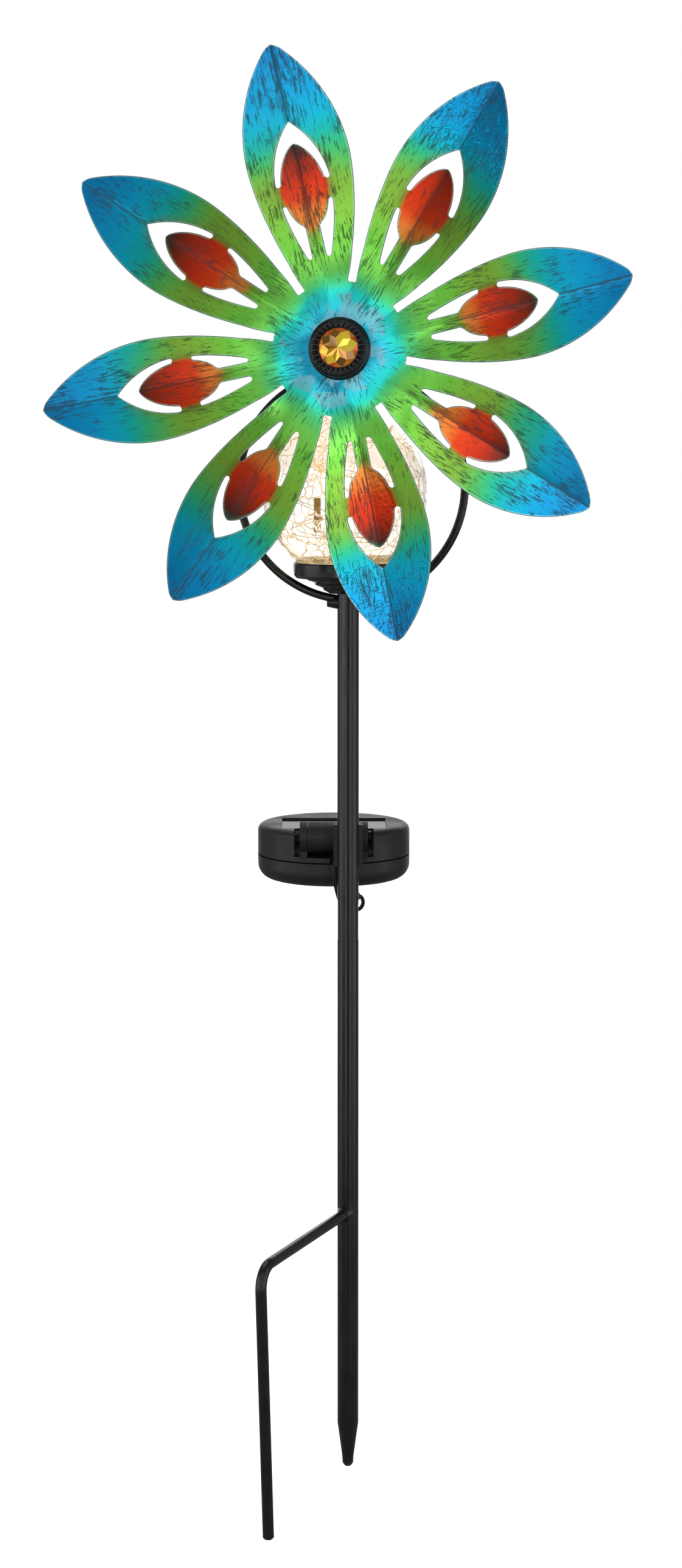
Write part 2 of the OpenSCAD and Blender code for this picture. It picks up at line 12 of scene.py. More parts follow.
import bpy
import numpy as np
from mathutils import Matrix, Vector


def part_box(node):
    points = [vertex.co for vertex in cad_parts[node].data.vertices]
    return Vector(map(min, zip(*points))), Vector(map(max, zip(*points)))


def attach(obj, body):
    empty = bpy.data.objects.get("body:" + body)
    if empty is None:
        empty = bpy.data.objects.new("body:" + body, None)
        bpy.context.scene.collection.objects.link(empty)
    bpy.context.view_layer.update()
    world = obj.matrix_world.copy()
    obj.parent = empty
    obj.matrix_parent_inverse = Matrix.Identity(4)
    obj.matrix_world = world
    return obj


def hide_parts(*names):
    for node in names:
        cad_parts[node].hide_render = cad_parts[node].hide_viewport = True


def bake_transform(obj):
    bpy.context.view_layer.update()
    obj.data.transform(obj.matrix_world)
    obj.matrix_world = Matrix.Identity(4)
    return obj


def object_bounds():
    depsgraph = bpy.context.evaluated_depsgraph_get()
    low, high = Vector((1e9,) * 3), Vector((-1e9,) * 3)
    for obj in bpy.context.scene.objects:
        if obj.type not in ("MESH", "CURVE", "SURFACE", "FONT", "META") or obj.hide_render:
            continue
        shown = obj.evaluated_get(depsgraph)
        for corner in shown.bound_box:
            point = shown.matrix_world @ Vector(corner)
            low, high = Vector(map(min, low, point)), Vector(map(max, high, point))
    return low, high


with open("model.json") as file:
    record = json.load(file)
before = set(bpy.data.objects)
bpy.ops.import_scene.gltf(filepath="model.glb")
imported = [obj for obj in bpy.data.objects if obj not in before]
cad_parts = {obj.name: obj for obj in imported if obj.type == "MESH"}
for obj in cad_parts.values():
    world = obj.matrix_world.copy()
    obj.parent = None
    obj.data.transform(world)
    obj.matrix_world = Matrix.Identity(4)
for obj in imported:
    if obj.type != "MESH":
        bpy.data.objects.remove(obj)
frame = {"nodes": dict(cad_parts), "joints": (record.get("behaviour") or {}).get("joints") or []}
nodes = frame["nodes"]
cad_low, cad_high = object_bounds()
joints = {joint["name"]: joint for joint in frame["joints"]}
MM = 0.001

# %% [markdown]
# ## The camera
# A product picture of a tall thin thing is taken from far enough back that it hardly tapers. This one
# stands 1.8 m away, a little to the right of straight ahead and a little above the middle, and it looks
# slightly down. It is set as a distance, a turn and a height, because those are easy to picture.

# %% Place the camera
CAMERA_TURN = math.radians(6.5)
CAMERA_REACH = 1.8
CAMERA_HEIGHT = 0.523
CAMERA_SIDESTEP = -0.0046
CAMERA_PITCH = math.radians(7.5)

camera_data = bpy.data.cameras.new("camera")
camera_data.sensor_fit = "VERTICAL"
camera_data.sensor_height = 36
camera_data.sensor_width = 36
camera_data.lens = 64.15
camera = bpy.data.objects.new("camera", camera_data)
bpy.context.scene.collection.objects.link(camera)
toward = Vector((math.sin(CAMERA_TURN), -math.cos(CAMERA_TURN), 0))
sideways = Vector((math.cos(CAMERA_TURN), math.sin(CAMERA_TURN), 0))
camera.location = CAMERA_REACH * toward + CAMERA_SIDESTEP * sideways + Vector((0, 0, CAMERA_HEIGHT))
camera.rotation_euler = (math.pi / 2 - CAMERA_PITCH, 0, CAMERA_TURN)
bpy.context.scene.camera = camera

# %% [markdown]
# ## Studio light
# A black tube shows its lights as upright bands, and a folded petal shows which way each half faces.
# So most lights are soft upright panels with gaps between them: a bright narrow one to the left of the
# camera for the tube, wider ones to the left and right, one on each side, and one in front, level with
# the wheel. Three behind light the back, and the dim one in their middle is what the solar cell mirrors.
# Two more, above the front and overhead, light what faces up. The lowest panels reach below the floor,
# so that their bands run down the whole tube.

# %% Build the studio
scene = bpy.context.scene
scene.view_settings.view_transform = "Standard"


def soft_panel(name, turn, height, distance, size, radiance, aim_height):
    """A rectangular soft light at a turn about the stake, aimed at it. Radiance is what the eye would see."""
    data = bpy.data.lights.new(name, "AREA")
    data.shape = "RECTANGLE"
    data.size, data.size_y = size
    data.energy = radiance * math.pi * size[0] * size[1]
    light = bpy.data.objects.new(name, data)
    scene.collection.objects.link(light)
    angle = CAMERA_TURN + math.radians(turn)
    light.location = (distance * math.sin(angle), -distance * math.cos(angle), height)
    aim = Vector((0, 0, aim_height)) - light.location
    light.rotation_euler = aim.to_track_quat("-Z", "Y").to_euler()
    light.visible_camera = False


# Each upright panel: name, degrees to the right of the camera, width, foot and top in metres, radiance.
PANEL_REACH = 2.6
UPRIGHT_PANELS = (
    ("key", -23, 0.5, -0.63, 0.3, 2.4),
    ("left", -48, 1.05, -0.1, 1.75, 2.0),
    ("left_side", -82, 1.9, -0.63, 1.7, 1.0),
    ("right", 26, 0.9, -0.63, 1.7, 1.5),
    ("right_side", 72, 2.2, -0.63, 1.7, 1.0),
    ("front", -7, 0.7, 0.45, 1.4, 1.7),
    ("back_low", 180, 2.6, -0.5, 0.48, 1.2),
    ("back_middle", 180, 2.6, 0.48, 0.75, 0.55),
    ("back_high", 180, 2.6, 0.75, 1.9, 1.4))
for name, turn, width, low, high, radiance in UPRIGHT_PANELS:
    middle = (low + high) / 2
    soft_panel(name, turn, middle, PANEL_REACH, (width, high - low), radiance, middle)
soft_panel("front_top", -12, 2.5, 2.2, (1.4, 0.9), 1.3, 0.56)
soft_panel("overhead", 200, 2.6, 0.8, (2.0, 2.0), 1.3, 0.3)

# %% [markdown]
# One small function adds a shader node, sets its properties and fills its sockets, and another turns a
# colour picked as a hex code, which is how a screen shows it, into the linear values a shader adds up.

# %% Helpers for materials
def linear(code):
    """The linear colour of an sRGB hex code."""
    parts = [int(code[i:i + 2], 16) / 255 for i in (1, 3, 5)]
    return (*(c / 12.92 if c <= 0.04045 else ((c + 0.055) / 1.055) ** 2.4 for c in parts), 1.0)


def add(tree, kind, inputs=None, **settings):
    """Adds a shader node. settings are its properties; inputs are its sockets' values or links."""
    made = tree.nodes.new("ShaderNode" + kind)
    for name, value in settings.items():
        setattr(made, name, value)
    for name, value in (inputs or {}).items():
        if isinstance(value, bpy.types.NodeSocket):
            tree.links.new(value, made.inputs[name])
        else:
            made.inputs[name].default_value = value
    return made


def surface(name, **values):
    """A new material with one Principled shader. Underscores in the names stand for spaces."""
    material = bpy.data.materials.new(name)
    material.use_nodes = True
    shader = material.node_tree.nodes["Principled BSDF"]
    for key, value in values.items():
        shader.inputs[key.replace("_", " ")].default_value = value
    return material, material.node_tree, shader


def blend_stops(tree, fac, stops):
    """A colour ramp: stops are (position, hex code)."""
    ramp = add(tree, "ValToRGB", {"Fac": fac})
    while len(ramp.color_ramp.elements) < len(stops):
        ramp.color_ramp.elements.new(0.5)
    for element, (position, code) in zip(ramp.color_ramp.elements, stops):
        element.position = position
        element.color = linear(code)
    return ramp.outputs["Color"]


def window(tree, value, low, high, to_low=0.0, to_high=1.0):
    """Maps value smoothly from low..high to to_low..to_high, and holds it outside."""
    made = add(tree, "MapRange", {"Value": value, "From Min": low, "From Max": high,
                                  "To Min": to_low, "To Max": to_high},
               interpolation_type="SMOOTHSTEP")
    return made.outputs["Result"]


def calc(tree, operation, a, b=0.0):
    """One step of arithmetic on two values or sockets."""
    made = add(tree, "Math", operation=operation)
    for socket, value in zip(made.inputs, (a, b)):
        if isinstance(value, bpy.types.NodeSocket):
            tree.links.new(value, socket)
        else:
            socket.default_value = value
    return made.outputs["Value"]


def mix(tree, fac, a, b, blend_type="MIX"):
    """Mixes two colours; each is a socket or a linear colour."""
    made = add(tree, "Mix", data_type="RGBA", blend_type=blend_type)
    for index, value in ((0, fac), (6, a), (7, b)):
        if isinstance(value, bpy.types.NodeSocket):
            tree.links.new(value, made.inputs[index])
        else:
            made.inputs[index].default_value = value
    return made.outputs[2]


def grain(tree, place, size_mm, detail=2.0, warp=0.0):
    """Noise whose features are about size_mm across, on coordinates in metres."""
    made = add(tree, "TexNoise", {"Vector": place, "Scale": 1 / (2 * size_mm * MM), "Detail": detail,
                                  "Distortion": warp})
    return made.outputs["Fac"]


def bands(tree, place, gap_mm, **settings):
    """Even waves along Y, gap_mm apart. A wave texture of scale 1 repeats every pi / 10 metres."""
    made = add(tree, "TexWave", {"Vector": place, "Scale": math.pi / 10 / (gap_mm * MM), **settings},
               bands_direction="Y")
    return made.outputs["Fac"]


def relief(tree, shader, height, depth_mm):
    """Joins a height pattern to the shader as bumps depth_mm deep."""
    made = add(tree, "Bump", {"Height": height, "Distance": depth_mm * MM, "Strength": 1.0})
    tree.links.new(made.outputs["Normal"], shader.inputs["Normal"])


def own_place(tree):
    """Where a point is on its own piece, in metres."""
    return add(tree, "TexCoord").outputs["Object"]


# %% [markdown]
# The background is a plain pale sky. What the glass and the camera see of it is white; what lights the
# metal is dim, as black flags round a studio table would make it. The floor is white paper that gives
# no light back to the object, because the real thing stands with its lower half in soil.

# %% Sky and floor
SKY_SEEN = 1.0
SKY_LIGHT = 0.22
PAPER_GLOW = 0.84
FLOOR_DROP = 0.0004
FLOOR_REACH = 30.0

world = bpy.data.worlds.new("sky")
scene.world = world
world.use_nodes = True
world.node_tree.nodes.clear()
ray = add(world.node_tree, "LightPath")
seen = calc(world.node_tree, "MAXIMUM", ray.outputs["Is Camera Ray"], ray.outputs["Is Transmission Ray"])
sky = add(world.node_tree, "Background", {
    "Color": (1, 1, 1, 1),
    "Strength": window(world.node_tree, seen, 0.0, 1.0, SKY_LIGHT, SKY_SEEN)})
add(world.node_tree, "OutputWorld", {"Surface": sky.outputs["Background"]})

floor_mesh = bpy.data.meshes.new("floor")
floor_z = cad_low.z - FLOOR_DROP
corners = [(x * FLOOR_REACH, y * FLOOR_REACH, floor_z) for x, y in ((-1, -1), (1, -1), (1, 1), (-1, 1))]
floor_mesh.from_pydata(corners, [], [(0, 1, 2, 3)])
floor = bpy.data.objects.new("floor", floor_mesh)
scene.collection.objects.link(floor)
paper, tree, shader = surface("matt_paper", Base_Color=linear("#f4f4f2"), Roughness=0.9,
                              Emission_Color=linear("#ffffff"), Emission_Strength=PAPER_GLOW,
                              Specular_IOR_Level=0.1)
floor_mesh.materials.append(paper)
floor.visible_glossy = False
floor.visible_diffuse = False
floor.visible_shadow = False

# %% [markdown]
# ## Black powder coat
# The tubes, the prong, the ring, the cup and the axle are steel, blasted and powder coated in satin
# black. The powder melts into a skin with a fine orange-peel texture about 1.5 mm across, which breaks
# the edges of the highlights, and it gathers a little dust that lifts the black unevenly.

# %% Make the powder coat
POWDER_PEEL = 1.5
POWDER_SPECK = 0.25
POWDER_RELIEF = 0.01


def powder_coat():
    material, tree, shader = surface("powder_coated_steel", IOR=1.5)
    place = own_place(tree)
    dust = grain(tree, place, 14, detail=4)
    shade = blend_stops(tree, dust, ((0.3, "#08080a"), (0.7, "#101012")))
    tree.links.new(shade, shader.inputs["Base Color"])
    rough = window(tree, grain(tree, place, 6, detail=3), 0.3, 0.7, 0.2, 0.31)
    tree.links.new(rough, shader.inputs["Roughness"])
    peel = grain(tree, place, POWDER_PEEL, detail=1)
    speck = calc(tree, "MULTIPLY", grain(tree, place, POWDER_SPECK, detail=0), 0.15)
    relief(tree, shader, calc(tree, "ADD", peel, speck), POWDER_RELIEF)
    return material


# %% [markdown]
# ## Moulded and turned parts
# The solar case and the clip are ABS from a spark-eroded mould, which leaves a fine matt grain. The hub's
# cap and its ribbed collar are the same plastic from a smoother mould. The lead is soft PVC, the bolts
# are zinc plated, the hinge's own are blackened, and the bush and the cup's nipple are turned brass.

# %% Make the plastics and rubbers
SEAM_FULL = 0.25
SEAM_END = 0.6


def moulded_abs(name, dark, pale, grain_mm, depth_mm, smooth, rough, seam=None):
    """Black plastic: dark and pale are its shades, smooth and rough the ends of its roughness. Seam is the
    height of the groove where two shells meet, drawn a little wider than it is so that it shows."""
    material, tree, shader = surface(name, IOR=1.46)
    place = own_place(tree)
    shade = blend_stops(tree, grain(tree, place, 20, detail=5), ((0.3, dark), (0.7, pale)))
    gloss = window(tree, grain(tree, place, 9, detail=4), 0.3, 0.7, smooth, rough)
    if seam is not None:
        height = add(tree, "SeparateXYZ", {"Vector": place}).outputs["Z"]
        from_seam = calc(tree, "ABSOLUTE", calc(tree, "SUBTRACT", height, seam))
        groove = window(tree, from_seam, SEAM_FULL * MM, SEAM_END * MM, 1.0, 0.0)
        shade = mix(tree, groove, shade, linear("#000000"))
        gloss = calc(tree, "MAXIMUM", gloss, groove)
        tree.links.new(window(tree, groove, 0.0, 1.0, 0.5, 0.0), shader.inputs["Specular IOR Level"])
    tree.links.new(shade, shader.inputs["Base Color"])
    tree.links.new(gloss, shader.inputs["Roughness"])
    relief(tree, shader, grain(tree, place, grain_mm, detail=2), depth_mm)
    return material


def black_pvc():
    material, tree, shader = surface("soft_pvc", IOR=1.52)
    place = own_place(tree)
    shade = blend_stops(tree, grain(tree, place, 5, detail=3), ((0.3, "#101011"), (0.7, "#1c1c1e")))
    tree.links.new(shade, shader.inputs["Base Color"])
    gloss = window(tree, grain(tree, place, 2, detail=2), 0.3, 0.7, 0.34, 0.5)
    tree.links.new(gloss, shader.inputs["Roughness"])
    relief(tree, shader, grain(tree, place, 0.8, detail=1), 0.02)
    return material


def silicone():
    material, tree, shader = surface("milky_silicone", Roughness=0.35, IOR=1.41,
                                     Subsurface_Weight=0.4, Subsurface_Scale=0.004)
    place = own_place(tree)
    shade = blend_stops(tree, grain(tree, place, 6, detail=3), ((0.3, "#c9c8be"), (0.7, "#dedcd2")))
    tree.links.new(shade, shader.inputs["Base Color"])
    relief(tree, shader, grain(tree, place, 1.5, detail=2), 0.05)
    return material


# %% Make the bare metals
def plated_metal(name, dark, pale, rough, lines_mm):
    """Bare metal with fine tool marks lines_mm apart."""
    material, tree, shader = surface(name, Metallic=1.0)
    place = own_place(tree)
    shade = blend_stops(tree, grain(tree, place, 4, detail=4), ((0.3, dark), (0.7, pale)))
    tree.links.new(shade, shader.inputs["Base Color"])
    gloss = window(tree, grain(tree, place, 2, detail=3), 0.3, 0.7, rough - 0.08, rough + 0.1)
    tree.links.new(gloss, shader.inputs["Roughness"])
    relief(tree, shader, bands(tree, place, lines_mm, Distortion=2.0, Detail=2.0), 0.01)
    return material


# %% Dress the frame's black, bare and rubber parts
COAT = powder_coat()
CASE_ABS = moulded_abs("moulded_abs", "#0d0d0e", "#141415", 0.45, 0.05, 0.42, 0.56)
SHELL_ABS = moulded_abs("shell_abs", "#0d0d0e", "#141415", 0.45, 0.05, 0.42, 0.56,
                        seam=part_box("shell_seal")[1].z)
CAP_ABS = moulded_abs("smooth_abs", "#08080a", "#121215", 0.5, 0.03, 0.2, 0.36)
PVC = black_pvc()
BLACKENED = plated_metal("black_zinc", "#141416", "#242427", 0.36, 0.99)
ZINC = plated_metal("zinc_plate", "#8d9093", "#b9bcbf", 0.34, 0.99)
BRASS = plated_metal("turned_brass", "#a8803c", "#cfa75c", 0.3, 0.79)
SILICONE = silicone()


def dress(material, *names):
    """Gives frame nodes a material. Their shapes and places stay as engineered."""
    for name in names:
        mesh = nodes[name].data
        mesh.materials.clear()
        mesh.materials.append(material)


dress(COAT, "upper_tube", "lower_tube", "side_prong", "prong_weld", "ring_frame", "ring_welds",
      "globe_cup", "axle_tube", "axle_weld")
dress(SHELL_ABS, "top_shell", "bottom_shell")
dress(CASE_ABS, "pole_clip", "battery_door", "hub_plate", "switch_slider")
dress(CAP_ABS, "hub_cap")
dress(PVC, "pole_grommet", "shell_seal", "solar_lead", "inner_lead")
dress(BLACKENED, "hinge_bolt", "hinge_nut")
dress(ZINC, "spindle", "spacer_washer", "front_washer", "lock_nut", "door_screw", "case_screws",
      "battery_contacts", "tube_plug")
dress(BRASS, "hub_bush", "cup_nipple", "cup_nut")
dress(SILICONE, "cup_seal")

# %% [markdown]
# ## The solar cell
# A polycrystalline cell lies under a clear cast resin. The silicon is dark blue-grey with crystal flakes
# and thin silver fingers 4 mm apart; the resin is what the eye meets first, and from a low angle it
# mirrors the pale room, so the cell looks light grey.

# %% Make the cell, its window and the parts inside the case
FINGER_GAP = 3.95
CRYSTAL = 6.0
TRACK = 4.0


def silicon_cell():
    material, tree, shader = surface("silicon_cell", Roughness=0.3, IOR=1.6)
    place = own_place(tree)
    flakes = add(tree, "TexVoronoi", {"Vector": place, "Scale": 1 / (CRYSTAL * MM)})
    shade = blend_stops(tree, flakes.outputs["Distance"], ((0.0, "#20242e"), (1.0, "#3b4150")))
    line = window(tree, bands(tree, place, FINGER_GAP), 0.93, 0.98)
    tree.links.new(mix(tree, line, shade, linear("#a9acb0")), shader.inputs["Base Color"])
    tree.links.new(line, shader.inputs["Metallic"])
    return material


def cast_resin():
    material, tree, shader = surface("cast_resin", Base_Color=linear("#f2f4f0"), Transmission_Weight=1.0,
                                     IOR=1.5)
    place = own_place(tree)
    gloss = window(tree, grain(tree, place, 8, detail=4), 0.3, 0.7, 0.04, 0.12)
    tree.links.new(gloss, shader.inputs["Roughness"])
    relief(tree, shader, grain(tree, place, 10, detail=2), 0.01)
    return material


def printed_board():
    material, tree, shader = surface("solder_mask", Roughness=0.35, IOR=1.55)
    place = own_place(tree)
    tracks = add(tree, "TexBrick", {"Vector": place, "Color1": linear("#0f4a22"), "Color2": linear("#15592c"),
                                    "Mortar": linear("#2a7a45"), "Scale": 1 / (TRACK * MM),
                                    "Mortar Size": 0.04})
    tree.links.new(tracks.outputs["Color"], shader.inputs["Base Color"])
    relief(tree, shader, tracks.outputs["Fac"], 0.03)
    return material


def shrink_sleeve():
    material, tree, shader = surface("shrink_sleeve", Roughness=0.3, IOR=1.5)
    place = own_place(tree)
    shade = blend_stops(tree, grain(tree, place, 8, detail=3), ((0.3, "#1f7a35"), (0.7, "#2f9a4a")))
    tree.links.new(shade, shader.inputs["Base Color"])
    relief(tree, shader, grain(tree, place, 3, detail=2), 0.04)
    return material


dress(silicon_cell(), "solar_cell")
dress(cast_resin(), "cell_window")
dress(printed_board(), "circuit_board")
dress(shrink_sleeve(), "battery")

# %% [markdown]
# ## The shape of a petal
# All eight petals are cut from one sheet. Half of a petal's outline is a function of the distance from
# the hub: a straight slot near the hub, a belly that widens, and an arc to the point. The windows
# beside the stem and the arch round the bud come from two more functions, the bud's edge and the
# windows' outer edge. Where the sheet is whole those two edges meet, so one grid of strips makes it all.

# %% Outline of a petal
PETALS = 8
HALF_ANGLE = math.pi / PETALS
HUB_BORE = 4.9
SLOT_START = 38.5
SLOT_HALF = 2.6
CUT_ROUND = 1.7
WIDE_AT = 117.0
WIDE_HALF = 31.8
BELLY_FALL = 0.0115
BELLY_POWER = 1.7
BELLY_FROM = 44.0
BELLY_OVER = 16.0
TIP_ARC = 88.6
POINT = 183.0
POINT_ROUND = 2.4
LOWER_CUT = (56.6, 90.6)
ARCH_CUT = (102.3, 138.0)
BUD_MIDDLE = 98.0
BUD_HALF = 13.8
BUD_TIP = 124.9
BUD_SHOULDER = 23.0
BUD_TAPER = 0.66
STEM_HALF = 4.4
LOWER_CUT_FOOT = 7.4
LOWER_CUT_HALF = 15.6
NECK_HALF = 16.9
ARCH_ARC = 49.0
ARCH_ARC_MIDDLE = 101.0
ARCH_ARC_SHIFT = 32.1


def ease(x):
    """A smooth step from 0 to 1."""
    x = min(1.0, max(0.0, x))
    return x * x * (3 - 2 * x)


def round_end(distance, radius):
    """Share of a slot's width that is open at a distance from its round end."""
    return math.sqrt(max(0.0, 1 - (1 - min(distance, radius) / radius) ** 2)) if distance > 0 else 0.0


def petal_half(r):
    """Half width of the petal: straight beside the slot, then the belly, then an arc to the point."""
    slot = SLOT_HALF * round_end(r - SLOT_START, CUT_ROUND)
    near = (r * math.sin(HALF_ANGLE) - slot) / math.cos(HALF_ANGLE)
    far = WIDE_HALF - BELLY_FALL * max(0.0, WIDE_AT - r) ** BELLY_POWER
    if r > WIDE_AT:
        far = math.sqrt(TIP_ARC ** 2 - (r - WIDE_AT) ** 2) - TIP_ARC + WIDE_HALF
    share = ease((r - BELLY_FROM) / BELLY_OVER)
    return (near * (1 - share) + far * share) * round_end(POINT - r, POINT_ROUND)


def bud_half(r):
    """Half width of the stem and the bud."""
    if r < BUD_MIDDLE:
        return max(STEM_HALF, BUD_HALF * math.sqrt(max(0.0, 1 - ((BUD_MIDDLE - r) / BUD_SHOULDER) ** 2)))
    share = (r - BUD_MIDDLE) / (BUD_TIP - BUD_MIDDLE)
    return BUD_HALF * max(0.0, 1 - share ** 2) ** BUD_TAPER


def window_half(r):
    """Half width of the windows' outer edge."""
    if r < LOWER_CUT[0]:
        return LOWER_CUT_FOOT
    if r < LOWER_CUT[1]:
        return LOWER_CUT_HALF - 0.0624 * max(0.0, 90 - r) ** 1.4
    if r < ARCH_CUT[0]:
        return NECK_HALF
    return max(0.0, math.sqrt(max(0.0, ARCH_ARC ** 2 - (r - ARCH_ARC_MIDDLE) ** 2)) - ARCH_ARC_SHIFT)


def slit(r):
    """Inner and outer edge of the windows at distance r. They meet where the sheet is whole."""
    inner, outer = bud_half(r), window_half(r)
    if r >= ARCH_CUT[1]:
        return 0.0, 0.0
    lower = round_end(min(r - LOWER_CUT[0], LOWER_CUT[1] - r), 1.5)
    opened = max(lower, round_end(r - ARCH_CUT[0], CUT_ROUND))
    middle, gap = (inner + outer) / 2, (outer - inner) / 2 * opened
    return middle - gap, middle + gap


# %% [markdown]
# Each petal is pressed along its middle, so its halves fall away from a crease, and it is bent forward
# towards its point and pitched so that wind turns the wheel. The crease dies out at the hub.

# %% Rise of the sheet
RISE = 30.0
RISE_FROM = 34.0
RISE_POWER = 1.25
FOLD = math.tan(math.radians(13))
PITCH = math.tan(math.radians(5))
CREASE_ROUND = 0.5
SHEET = 0.8


def lift(r, v):
    """Height of the sheet's middle over the hub's plane."""
    bend = RISE * (max(0.0, r - RISE_FROM) / (POINT - RISE_FROM)) ** RISE_POWER
    fold = FOLD * ease((r - 21) / 40) * (math.hypot(v, CREASE_ROUND) - CREASE_ROUND)
    pitch = PITCH * ease((r - SLOT_START) / 26) * v
    return bend - fold + pitch + SHEET / 2


# %% [markdown]
# The sheet is a grid: rows across the petal, closer together at the round ends of the windows, and
# columns in three strips. The strips' outermost columns are thin, so that the rounded edge stays crisp.

# %% Build the wheel's sheet
EDGE = 0.45
STRIP = 8
ROW_STEP = 1.6
END_STEPS = (0, 0.06, 0.22, 0.48, 0.84, 1.26, 1.7)
HUB_ROWS_FROM = 7.0
HUB_ROW_STEP = 1.9
HUB_ROUND_TO = 22.0


def spread(low, high, count):
    """Stations from low to high, the first and last step thin."""
    if high - low < 1e-6:
        return [low] * (count + 1)
    thin = min(EDGE, (high - low) / (count + 1))
    inside = [low + thin + (high - low - 2 * thin) * i / (count - 2) for i in range(count - 1)]
    return [low, *inside, high]


def stations(r):
    """Positions across the petal: left side, middle strip, right side."""
    inner, outer = slit(r)
    side = spread(outer, petal_half(r), STRIP)
    half = spread(0.0, inner, STRIP // 2 + 1)
    middle = [-v for v in reversed(half)] + half[1:]
    return [-v for v in reversed(side)], middle, side


def row_places():
    """Distances of the rows: even, and finer near each round end."""
    places = set(np.arange(SLOT_START, POINT, ROW_STEP).round(2))
    for end in (SLOT_START, *LOWER_CUT, *ARCH_CUT, BUD_TIP, POINT):
        for step in END_STEPS:
            places |= {round(end + step, 2), round(end - step, 2)}
    return sorted(p for p in places if SLOT_START <= p <= POINT)


def on_hub(reach, v):
    """A point of the hub's disc: rows are straight at the slots and turn into circles at the bore."""
    angle = math.atan2(v, SLOT_START)
    share = ease((reach - HUB_ROUND_TO) / (SLOT_START - HUB_ROUND_TO))
    return reach * (share / math.cos(angle) + 1 - share) * np.array((math.cos(angle), math.sin(angle)))


def petal_sheet():
    """Points and faces of one petal and its eighth of the hub, in the petal's own plane."""
    points, faces, rows = [], [], []
    for r in [HUB_BORE, *np.arange(HUB_ROWS_FROM, SLOT_START - 1, HUB_ROW_STEP), *row_places()]:
        ids = []
        for strip in stations(max(r, SLOT_START)):
            ids.append(range(len(points), len(points) + len(strip)))
            for v in strip:
                x, y = (r, v) if r >= SLOT_START else on_hub(r, v)
                points.append((x, y, lift(math.hypot(x, y) if r < SLOT_START else r, y)))
        rows.append(ids)
    for low, high in zip(rows, rows[1:]):
        for a, b in zip(low, high):
            faces += [(a[i], a[i + 1], b[i + 1], b[i]) for i in range(len(a) - 1)]
    return points, faces


def wheel_matrix(turn_deg):
    """Places the wheel's plane on its axle, with its forward direction along the axle."""
    spin = joints["wheel_spin"]
    forward = Vector(spin["axis"]).normalized()
    right = Vector((1, 0, 0))
    up = forward.cross(right)
    place = Matrix((right, up, forward)).transposed().to_4x4()
    place.translation = Vector(spin["pos_m"])
    return place @ Matrix.Rotation(math.radians(turn_deg), 4, "Z")


def finished(obj):
    """Applies the object's modifiers and returns it with the resulting mesh."""
    graph = bpy.context.evaluated_depsgraph_get()
    done = bpy.data.meshes.new_from_object(obj.evaluated_get(graph))
    obj.modifiers.clear()
    obj.data = done
    return obj


def new_piece(name, points, faces, material):
    """A mesh object from points in metres."""
    mesh = bpy.data.meshes.new(name)
    mesh.from_pydata([tuple(p) for p in points], [], faces)
    mesh.materials.append(material)
    obj = bpy.data.objects.new(name, mesh)
    scene.collection.objects.link(obj)
    return obj


# %% [markdown]
# The whole wheel is eight turned copies welded along the hub. The sheet then gets its 0.8 mm thickness,
# and its cut edge is rounded a little, as a press leaves it. Each point keeps three numbers for the
# paint: its distance along the petal, its place across it and the petal's number, and one more says
# how near the cut edge it lies.

# %% Make the petal wheel
WHEEL_TURN = 12.7
WELD_REACH = 0.02
EDGE_ROUND = 0.16
FAR_INSIDE = 10.0


def petal_place(x, y):
    """Distance along the nearest petal, place across it, and that petal's number."""
    number = round(math.atan2(y, x) / (2 * HALF_ANGLE)) % PETALS
    turn = -2 * HALF_ANGLE * number
    r = x * math.cos(turn) - y * math.sin(turn)
    v = x * math.sin(turn) + y * math.cos(turn)
    return r, v, number


def edge_distance(r, v):
    """How far a point lies from the sheet's nearest cut edge, in millimetres."""
    if r < SLOT_START:
        return FAR_INSIDE
    inner, outer = slit(r)
    side = petal_half(r) - abs(v)
    nearest = outer if abs(v) > (inner + outer) / 2 else inner
    window_side = abs(abs(v) - nearest) if outer > inner else FAR_INSIDE
    along = min(abs(r - POINT), *(abs(r - end) + 0.4 for end in (ARCH_CUT[1], BUD_TIP)))
    near_end = along if abs(v) < 2.2 else FAR_INSIDE
    return max(0.0, min(side, window_side, near_end))


